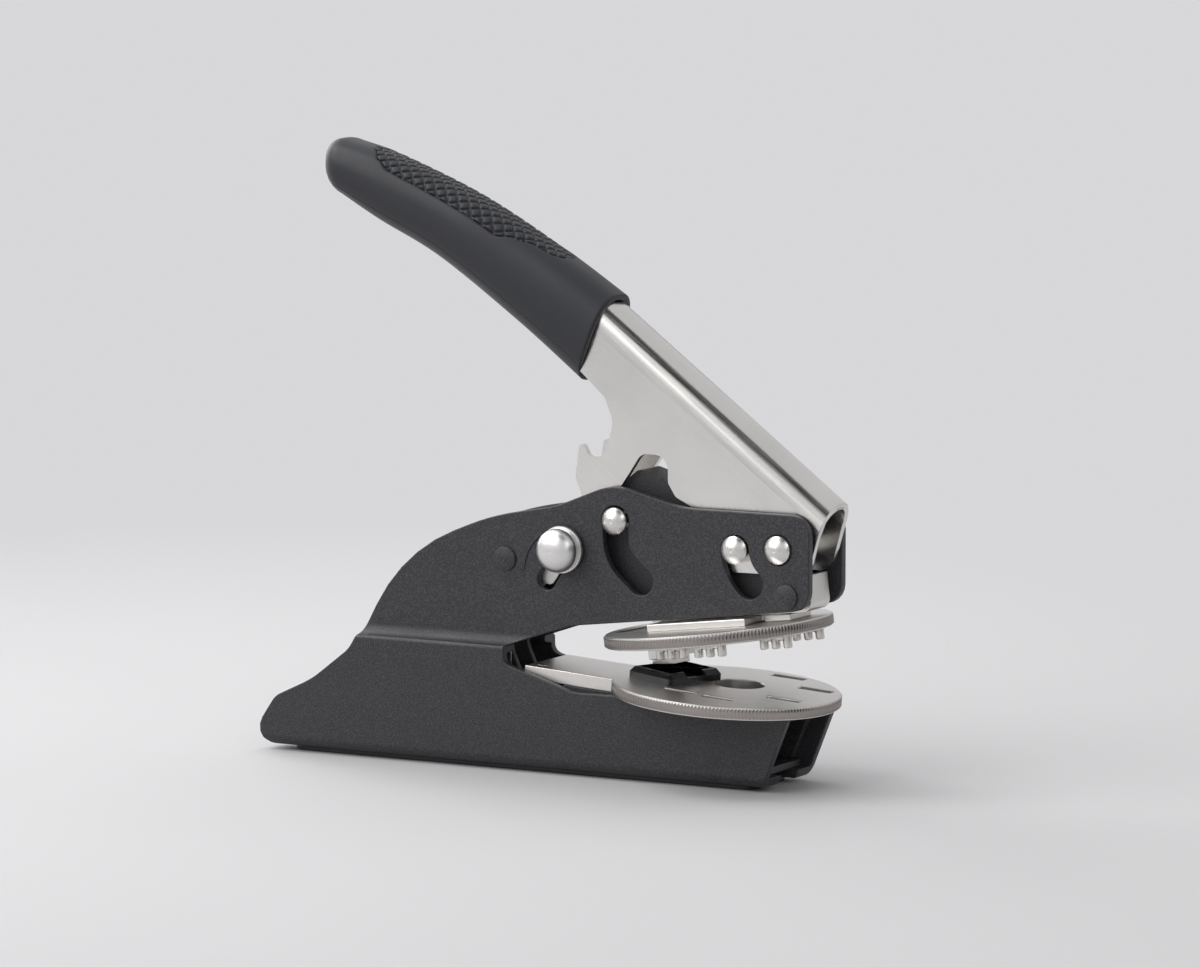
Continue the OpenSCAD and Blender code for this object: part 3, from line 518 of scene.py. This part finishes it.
# Rounded lip of the mouth and the moulding seam on each side, at angles round the section
LIP = 0.7
SEAM_DEPTH = 0.2
SEAM_ANGLES = (math.radians(213.2), math.radians(326.8))
# Rubber above and below the lever at the mouth
MOUTH_TOP = 1.4
MOUTH_BOTTOM = 1.5
# Half width of the knurled patch, measured round the grip, at distances back from the mouth
PATCH = [(14.3, 0), (15, 3.0), (17.5, 4.4), (22, 5.0), (26, 6.4), (31, 8.7), (40, 8.5), (56, 8.2),
         (62.5, 7.9), (66.4, 6.2), (69, 2.8), (69.9, 0)]
DIAMOND = 3.3
GROOVE_DEPTH = 0.62
GROOVE_HALF = 0.42


def through(points, t):
    """Smooth curve through a row of points, t from 0 to 1."""
    last = len(points) - 1
    s = min(t * last, last - 0.0001)
    i = int(s)
    f = s - i
    p0, p1 = Vector(points[max(i - 1, 0)]), Vector(points[i])
    p2, p3 = Vector(points[i + 1]), Vector(points[min(i + 2, last)])
    return 0.5 * (2 * p1 + (p2 - p0) * f + (2 * p0 - 5 * p1 + 4 * p2 - p3) * f * f
                  + (3 * p1 - p0 - 3 * p2 + p3) * f ** 3)


def section_point(back, belly, half, power, w):
    """Point of a rounded section between a back and a belly point, at the angle w."""
    middle, up = (back + belly) / 2, (back - belly) / 2
    c, s = math.cos(w), math.sin(w)
    q = (abs(c) ** power + abs(s) ** power) ** (-1 / power)
    return Vector((middle.x + up.x * q * s, half * q * c, middle.y + up.y * q * s))


def grip_point(t, w, inset=0.0):
    back, belly = through(GRIP_BACK, t), through(GRIP_BELLY, t)
    up = (back - belly).normalized() * inset
    return section_point(back - up, belly + up, GRIP_HALF - inset, GRIP_SQUARE, w)


def tail_point(angle, w):
    """Round end of the grip, past the last section."""
    back, belly = through(GRIP_BACK, 1), through(GRIP_BELLY, 1)
    tail = (back + belly - through(GRIP_BACK, 0.9) - through(GRIP_BELLY, 0.9)).normalized()
    middle, up = (back + belly) / 2, (back - belly) / 2 * math.cos(angle)
    middle = middle + tail * GRIP_END * math.sin(angle)
    return section_point(middle + up, middle - up, GRIP_HALF * math.cos(angle), GRIP_SQUARE, w)


def cavity_point(t, w):
    back, belly = through(CAVITY_BACK, t), through(CAVITY_BELLY, t)
    return section_point(back, belly, CAVITY_HALF, CAVITY_SQUARE, w)


def mouth_point(grow, depth, w):
    """Edge of the cavity on the plane of the mouth, wider by grow and set back by depth."""
    back, belly = Vector(GRIP_BACK[0]), Vector(GRIP_BELLY[0])
    down = (belly - back).normalized()
    inward = Vector((down.y, -down.x)) * depth
    top = back + down * (MOUTH_TOP - grow) + inward
    bottom = belly - down * (MOUTH_BOTTOM - grow) + inward
    square = MOUTH_SQUARE if math.sin(w) > 0 else CAVITY_SQUARE
    return section_point(top, bottom, CAVITY_HALF + grow, square, w)


def patch_half(along):
    """Half width of the knurled patch at a distance from the mouth, 0 outside it."""
    if not PATCH[0][0] < along < PATCH[-1][0]:
        return 0.0
    for (a0, h0), (a1, h1) in zip(PATCH, PATCH[1:]):
        if along <= a1:
            f = (along - a0) / (a1 - a0)
            if a0 < 15.1 or a1 > 66.5:
                return h0 + (h1 - h0) * f
            return h0 + (h1 - h0) * (3 * f * f - 2 * f ** 3)
    return 0.0


def step_up(x, low, high):
    f = max(0.0, min(1.0, (x - low) / (high - low)))
    return f * f * (3 - 2 * f)


def knurl_depth(along, around):
    """How far the surface lies under the smooth grip, in the patch of raised diamonds."""
    half = patch_half(along)
    inside = min(half - abs(around), along - PATCH[0][0], PATCH[-1][0] - along)
    if inside <= -0.15:
        return 0.0
    near = 9.0
    for side in (1, -1):
        share = (along + side * around) / DIAMOND
        near = min(near, abs(share - round(share)) * DIAMOND / math.sqrt(2))
    pad = step_up(near, 0.1, GROOVE_HALF) * (1 - 0.14 * step_up(1.1 - near, 0, 1.0))
    rim = step_up(inside, 0.15, 0.5)
    floor = GROOVE_DEPTH * step_up(inside, -0.15, 0.12)
    return floor - (GROOVE_DEPTH - 0.05) * pad * rim


def grip_angles():
    """Angles round the section: dense over the knurled back and at the moulding seam."""
    dense = [math.radians(26 + 1.15 * i) for i in range(112)]
    seam = [math.radians(a) for a in (209, 211, 212, 212.8, 213.6, 214.4, 215.4, 217.5,
                                      322.5, 324.6, 325.6, 326.4, 327.2, 328, 329, 331)]
    rest = [math.radians(a) for a in range(160, 386, 6)
            if not 206 < a < 220 and not 320 < a < 333]
    return sorted(dense + seam + rest)


def make_grip():
    """Sleeve as one skin: closed end of the cavity, mouth, lip, knurled outside and round tail."""
    angles = grip_angles()
    angles.append(angles[0] + math.tau)
    rows = [[cavity_point(t, w) for w in angles] for t in (1.0, 0.75, 0.5, 0.25)]
    rows.insert(0, [sum(rows[0], Vector()) / len(angles)] * len(angles))
    rows.append([mouth_point(0.0, 0.3, w) for w in angles])
    rows.append([mouth_point(0.3, 0.0, w) for w in angles])
    for share in (0.0, 0.3, 0.6, 0.85):
        turn = share * math.pi / 2
        rows.append([grip_point(0.01 * (1 - math.cos(turn)), w, LIP * (1 - math.sin(turn)))
                     for w in angles])
    marks = [0.013 + 0.17 * i / 12 for i in range(12)]
    marks += [0.183 + 0.645 * i / 258 for i in range(258)]
    marks += [0.828 + 0.172 * i / 14 for i in range(15)]
    length, before = 0.0, grip_point(0, math.pi / 2)
    for t in marks:
        top = grip_point(t, math.pi / 2)
        length += (top - before).length
        before = top
        ring = [grip_point(t, w) for w in angles]
        middle = sum(ring, Vector()) / len(ring)
        around = [0.0] * len(ring)
        start = min(range(len(ring)), key=lambda k: abs(angles[k] - math.pi / 2))
        for k in range(start + 1, len(ring)):
            around[k] = around[k - 1] + (ring[k] - ring[k - 1]).length
        for k in range(start - 1, -1, -1):
            around[k] = around[k + 1] - (ring[k] - ring[k + 1]).length
        placed = []
        for k, point in enumerate(ring):
            depth = knurl_depth(length, around[k]) if abs(around[k]) < 11 else 0.0
            for seam in SEAM_ANGLES:
                off = abs(angles[k] - seam) * GRIP_HALF
                depth += SEAM_DEPTH * (1 - step_up(off, 0.05, 0.2)) * step_up(t, 0.02, 0.05)
            inward = middle - point
            inward.normalize()
            placed.append(point + inward * depth)
        rows.append(placed)
    for angle in (10, 20, 31, 42, 53, 64, 74, 83):
        rows.append([tail_point(math.radians(angle), w) for w in angles])
    rows.append([sum((tail_point(math.radians(89.9), w) for w in angles), Vector()) / len(angles)]
                * len(angles))
    work = bmesh.new()
    bmesh.ops.create_grid(work, x_segments=len(angles) - 1, y_segments=len(rows) - 1, size=0.5)
    across, down = len(angles) - 1, len(rows) - 1
    for vert in work.verts:
        column = round((vert.co.x + 0.5) * across)
        row = round((vert.co.y + 0.5) * down)
        vert.co = rows[row][column] * MM
    bmesh.ops.remove_doubles(work, verts=work.verts, dist=0.001 * MM)
    bmesh.ops.recalc_face_normals(work, faces=work.faces)
    obj = mesh_object("rubber_grip", work)
    for face in obj.data.polygons:
        face.use_smooth = True
    obj.data.set_sharp_from_angle(angle=math.radians(60))
    obj.data.materials.append(MATERIALS["grip_rubber"])
    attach(obj, "lever")
    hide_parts("grip_sleeve")


# ---------------------------------------------------------------- seal plates

def lower_frame():
    """Plate axes of the lower seal: origin on its top face, z square to the plate."""
    return (Matrix.Translation(Vector((0, 0, SEAL_Z)) * MM)
            @ Matrix.Rotation(LOWER_TILT, 4, "Y"))


def upper_frame():
    """Plate axes of the upper seal at rest: origin on its lower face."""
    hinge = Vector((ARM_HINGE[0], 0, ARM_HINGE[1])) * MM
    return (Matrix.Translation(hinge) @ Matrix.Rotation(-(LOWER_TILT + UPPER_TILT), 4, "Y")
            @ Matrix.Translation(-hinge) @ lower_frame()
            @ Matrix.Translation(Vector((0, 0, PAPER_GAP)) * MM))


def knurled_band(place, bottom, top):
    """Ring of fine teeth round a plate, from bottom to top along the plate's own axis."""
    inner, chamfer = SEAL_R - 0.5, SEAL_R - 0.16
    levels = [(inner, bottom), (chamfer, bottom), (SEAL_R, bottom + 0.14),
              (SEAL_R, (bottom + top) / 2), (SEAL_R, top - 0.14), (chamfer, top),
              (inner, top), (inner, bottom)]
    band = spun([(r, 0, z) for r, z in levels], (0, 0, 1), 3 * TEETH)
    for vert in band.verts:
        radius = math.hypot(vert.co.x, vert.co.y)
        step = round(math.atan2(vert.co.y, vert.co.x) / (math.tau / 3 / TEETH))
        if radius > (SEAL_R - 0.05) * MM and step % 3 == 0:
            share = (radius - TOOTH_DEPTH * MM) / radius
            vert.co = Vector((vert.co.x * share, vert.co.y * share, vert.co.z))
    bmesh.ops.transform(band, matrix=place, verts=band.verts)
    return band


def dressed_plate(node, place, bottom, top):
    """Seal plate with a rim of fine teeth between two narrow plain bands, the teeth's upright faces
    in a darker nickel that is painted shade and painted reflection.
    """
    work = merged_copy(node)
    inverse = place.inverted()
    for vert in work.verts:
        local = inverse @ vert.co
        if math.hypot(local.x, local.y) > (SEAL_R - 0.02) * MM:
            share = (SEAL_R - 0.34) / SEAL_R
            vert.co = place @ Vector((local.x * share, local.y * share, local.z))
    work = break_edges(work, 0.22)
    joined(work, knurled_band(place, bottom + PLAIN_BAND, top - PLAIN_BAND))
    obj = hand_in(mesh_object("dressed_" + node, work), node, "plate_nickel")
    # Upright faces of the teeth take the darker rim nickel as painted shade and painted dark
    # reflection; the bevels keep the plate's nickel
    obj.data.materials.append(MATERIALS["painted_shade_rim"])
    turn = inverse.to_3x3()
    for face in obj.data.polygons:
        centre = inverse @ face.center
        upright = abs((turn @ face.normal).z) < 0.5
        if upright and math.hypot(centre.x, centre.y) > (SEAL_R - 0.3) * MM:
            face.material_index = 1
    return obj


# ---------------------------------------------------------------- lock knob

def make_knob():
    """Turned knob: thin flange, drum with fine grooves, domed end with a centre mark."""
    profile = [(0, 0), (FLANGE_R - 0.3, 0), (FLANGE_R - 0.05, 0.12), (FLANGE_R, 0.35),
               (FLANGE_R, 0.7), (FLANGE_R - 0.15, 0.95), (DRUM_R + 0.05, 1.0), (DRUM_R, 1.1)]
    for groove in range(GROOVES):
        z = 1.25 + GROOVE_PITCH * groove
        floor_r = DRUM_R - 0.12
        profile += [(DRUM_R, z), (floor_r, z + 0.06), (floor_r, z + 0.16), (DRUM_R, z + 0.22)]
    profile += [(DRUM_R, DRUM_END)]
    dome_steps, mark_r = 14, 0.55
    for i in range(1, dome_steps + 1):
        a = math.pi / 2 * i / dome_steps
        profile.append((DRUM_R * math.cos(a) ** 0.8 if i < dome_steps else mark_r,
                        DRUM_END + (KNOB_END - DRUM_END) * math.sin(a) ** 1.15))
    profile += [(0.3, KNOB_END - 0.05), (0, KNOB_END - 0.09)]
    work = bmesh.new()
    turned(work, KNOB, -FRAME_HALF - KNOB_BASE, 1, profile, 96)
    return hand_in(mesh_object("turned_lock_knob", work), "lock_knob", "knob_satin", 38)


# ---------------------------------------------------------------- lever

def round_drop(across, half, radius):
    """Depth of a rounded back under its top plane, at a distance off the middle."""
    off = max(0.0, abs(across) - (half - radius))
    return radius - math.sqrt(max(radius ** 2 - off ** 2, 0))


def crown_lever():
    """The folded sheet with its back drawn into a full round, as deep drawing leaves it."""
    work = merged_copy("lever_channel")
    for offset in (-1.9, -1.3, -0.65, 0, 0.65, 1.3, 1.9):
        bmesh.ops.bisect_plane(work, geom=work.verts[:] + work.edges[:] + work.faces[:],
                               plane_co=(0, offset * MM, 0), plane_no=(0, 1, 0))
    normal = Vector((math.sin(LEVER_SLOPE), 0, math.cos(LEVER_SLOPE)))
    backward = Vector((-math.cos(LEVER_SLOPE), 0, math.sin(LEVER_SLOPE)))
    origin = Vector((LEVER_TOP[0], 0, LEVER_TOP[1]))
    # outer and inner skin of the sheet: half width, shoulder radius, crown radius, depth
    skins = [(LEVER_OUT - under, LEVER_ROUND - under, CROWN_R - under, under)
             for under in (0, LEVER_SHEET)]
    far = 9
    for vert in work.verts:
        point = vert.co / MM - origin
        depth, behind = -point.dot(normal), point.dot(backward)
        if behind > CROWN_END or depth > LEVER_ROUND + 0.05:
            continue
        offs = [abs(depth - under - round_drop(point.y, half, r))
                if abs(point.y) < half + 0.01 else far for half, r, _, under in skins]
        half, r, crown, _ = skins[offs.index(min(offs))]
        drop = round_drop(point.y, half, crown) - round_drop(point.y, half, r)
        vert.co -= normal * drop * MM
    work = break_edges(work, 0.25, pick=outer_edge)
    return hand_in(mesh_object("dressed_lever", work), "lever_channel", "lever_nickel")


# ---------------------------------------------------------------- side plate with its arrow

def arc_point(radius, angle):
    return (ARROW_AT[0] + radius * math.cos(math.radians(angle)),
            ARROW_AT[1] + radius * math.sin(math.radians(angle)))


def arrow_cutter():
    """Curved arrow beside the knob's slot, as a solid that stands in the plate's skin."""
    start, end, tip, count, proud = 121, 178, 189, 16, 0.4
    half, head_half = ARROW_W / 2, 1.1
    steps = range(count + 1)
    outline = [arc_point(ARROW_R + half, start + (end - start) * i / count) for i in steps]
    outline += [arc_point(ARROW_R + head_half, end), arc_point(ARROW_R, tip),
                arc_point(ARROW_R - head_half, end)]
    outline += [arc_point(ARROW_R - half, end + (start - end) * i / count) for i in steps]
    part = bmesh.new()
    rim = [part.verts.new(Vector((x, -FRAME_HALF - proud, z)) * MM) for x, z in outline]
    grown = bmesh.ops.extrude_face_region(part, geom=[part.faces.new(rim)])
    bmesh.ops.translate(part, verts=[g for g in grown["geom"] if isinstance(g, bmesh.types.BMVert)],
                        vec=(0, (proud + ARROW_DEPTH) * MM, 0))
    bmesh.ops.recalc_face_normals(part, faces=part.faces)
    bmesh.ops.triangulate(part, faces=part.faces)
    return mesh_object("arrow_cutter", part)


def cut_with(obj, cutter):
    """Takes the cutter's shape out of the object and removes the cutter."""
    cut = obj.modifiers.new("cut", "BOOLEAN")
    cut.operation, cut.solver, cut.object = "DIFFERENCE", "EXACT", cutter
    bpy.context.view_layer.update()
    result = bpy.data.meshes.new_from_object(
        obj.evaluated_get(bpy.context.evaluated_depsgraph_get()))
    obj.modifiers.remove(cut)
    obj.data = result
    bpy.data.objects.remove(cutter)


def near_plate():
    work = break_edges(merged_copy("right_side_plate"), 0.4, 3)
    obj = mesh_object("dressed_right_side_plate", work)
    cut_with(obj, arrow_cutter())
    return hand_in(obj, "right_side_plate", "black_paint")


# ---------------------------------------------------------------- register frame

def register_frame():
    """Moulded frame whose outer top edge slopes down to its walls."""
    place = (lower_frame() @ Matrix.Translation(Vector((CLIP_AT[0], CLIP_AT[1], 0)) * MM)
             @ Matrix.Rotation(math.radians(CLIP_TURN), 4, "Z"))
    inverse = place.inverted()

    def outer_top(edge):
        if edge.calc_face_angle(0) < math.radians(60):
            return False
        ends = [inverse @ v.co for v in edge.verts]
        if min(p.z for p in ends) < (CLIP_H - 0.1) * MM:
            return False
        middle = (ends[0] + ends[1]) / 2
        walls = [inverse.to_3x3() @ f.normal for f in edge.link_faces]
        return any(abs(n.z) < 0.3 and n.x * middle.x + n.y * middle.y > 0 for n in walls)

    work = break_edges(merged_copy("register_frame"), 1.1, 1, outer_top)
    work = break_edges(work, 0.15)
    return hand_in(mesh_object("dressed_register_frame", work), "register_frame", "black_plastic")


# ---------------------------------------------------------------- return spring

def tube(path, radius, sides=20):
    """Round wire along a path of positions in millimetres, with flat ends."""
    work, before, last = bmesh.new(), None, len(path) - 1
    for i, point in enumerate(path):
        along = (path[min(i + 1, last)] - path[max(i - 1, 0)]).normalized()
        out = Vector((along.z, 0, -along.x)).normalized()
        turn = Matrix((out, along.cross(out), along)).transposed().to_4x4()
        made = bmesh.ops.create_circle(work, segments=sides, radius=radius * MM,
                                       cap_ends=i in (0, last),
                                       matrix=Matrix.Translation(point * MM) @ turn)
        ring = list({edge for vert in made["verts"] for edge in vert.link_edges})
        if before:
            bmesh.ops.bridge_loops(work, edges=before + ring)
        before = ring
    bmesh.ops.recalc_face_normals(work, faces=work.faces)
    return work


def wound_spring():
    """Torsion spring of the construction as an even round wire."""
    end = COIL_END - 360 * COIL_TURNS
    half = COIL_PITCH * (COIL_START - end) / 360 / 2
    steps = 48 * COIL_TURNS
    coil = []
    for i in range(steps + 1):
        angle = math.radians(COIL_START + (end - COIL_START) * i / steps)
        coil.append(Vector((REAR_SPACER[0] + COIL_R * math.cos(angle), -half + 2 * half * i / steps,
                            REAR_SPACER[1] + COIL_R * math.sin(angle))))
    path = [Vector((REAR_LEG[0], -half, REAR_LEG[1]))] + coil
    path.append(Vector((FRONT_LEG[0], half, FRONT_LEG[1])))
    wire = mesh_object("wound_return_spring", tube(path, WIRE / 2))
    return hand_in(wire, "return_spring", "plain_steel", 50)


# ---------------------------------------------------------------- assembly

def dress_everything():
    near_plate()
    dressed("left_side_plate", "black_paint", 0.4, 3)
    crown_lever()
    dressed("press_arm", "black_paint", 0.25)
    dressed("press_foot", "plate_nickel", 0.2)
    dressed("upper_holder", "plate_nickel", 0.25)
    register_frame()
    dressed("register_block", "plate_nickel", 0.15)
    dressed("key_teeth", "plate_nickel", 0.35)
    dressed("pressure_link", "plate_nickel", 0.25)
    dressed("die_bed", "black_paint", 0.3)
    dressed("base_floor", "black_paint", 0.2)
    dressed("base_pad", "pad_rubber", 0.3)
    dressed("hinge_bracket", "plain_steel", 0.25)
    dressed("lock_slide", "plain_steel", 0.15)
    wound_spring()
    dressed_plate("lower_seal_plate", lower_frame(), -PLATE_T, 0)
    dressed_plate("upper_seal_plate", upper_frame(), 0, PLATE_T)
    headed_pin("fulcrum_pin", "pin_nickel", FULCRUM, PIN_R, PIN_R, PIN_DOME, PIN_SEAT)
    headed_pin("crank_pin", "pin_nickel", CRANK, PIN_R, PIN_R, PIN_DOME, PIN_SEAT)
    headed_pin("guide_pin", "pin_nickel", GUIDE, GUIDE_SHANK, PIN_R, GUIDE_DOME, PIN_SEAT)
    for node, place in [("rear_spacer_rivet", REAR_SPACER), ("front_spacer_rivet", FRONT_SPACER)]:
        headed_pin(node, "black_paint", place, RIVET_SHANK, RIVET_R, RIVET_DOME, FRAME_HALF,
                   RIVET_EDGE)
    make_knob()
    make_grip()
    slots = {part["node"]: part["material_slot"] for part in frame["record"]["subparts"]}
    for node, obj in NODES.items():
        obj.data.materials.clear()
        obj.data.materials.append(MATERIALS[slots[node]])


bpy.context.scene.view_settings.view_transform = "Standard"
add_camera()
add_world()
add_stage()
dress_everything()
